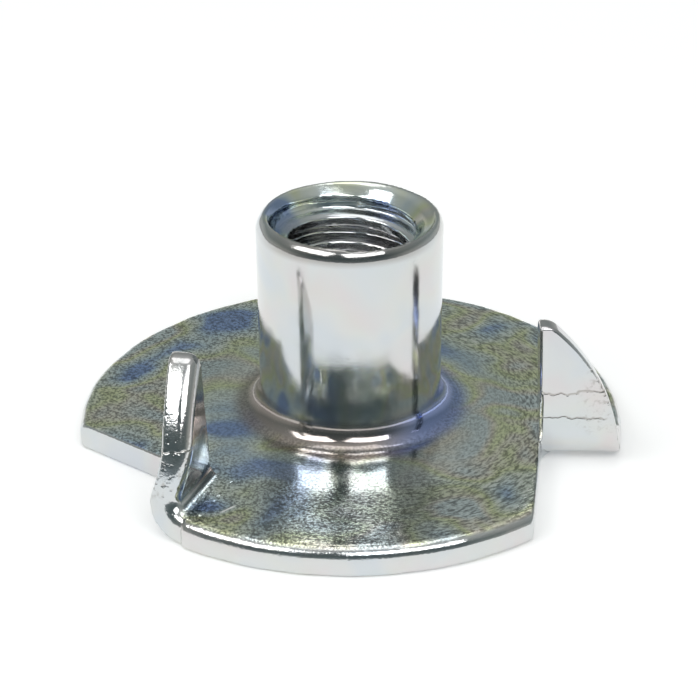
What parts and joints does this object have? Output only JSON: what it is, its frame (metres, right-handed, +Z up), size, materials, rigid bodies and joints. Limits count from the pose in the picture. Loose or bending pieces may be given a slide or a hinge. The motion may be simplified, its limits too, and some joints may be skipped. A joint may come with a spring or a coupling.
{
  "type": "tee nut",
  "caption": "Round sheet-steel flange with a threaded barrel drawn up from its middle and prongs folded up from its rim, driven into wood to hold a machine screw.",
  "frame": {"origin": "where the barrel's axis meets the flange's underside", "axes": "+Z up the barrel's axis and out of its mouth, +X along the fold line of the first prong"},
  "size_m": [0.0158, 0.0155, 0.0069],
  "materials": {
    "zinc_plated_steel": "bright zinc plate"
  },
  "bodies": {
    "root": {"tee_nut": "zinc_plated_steel"}
  },
  "joints": []
}
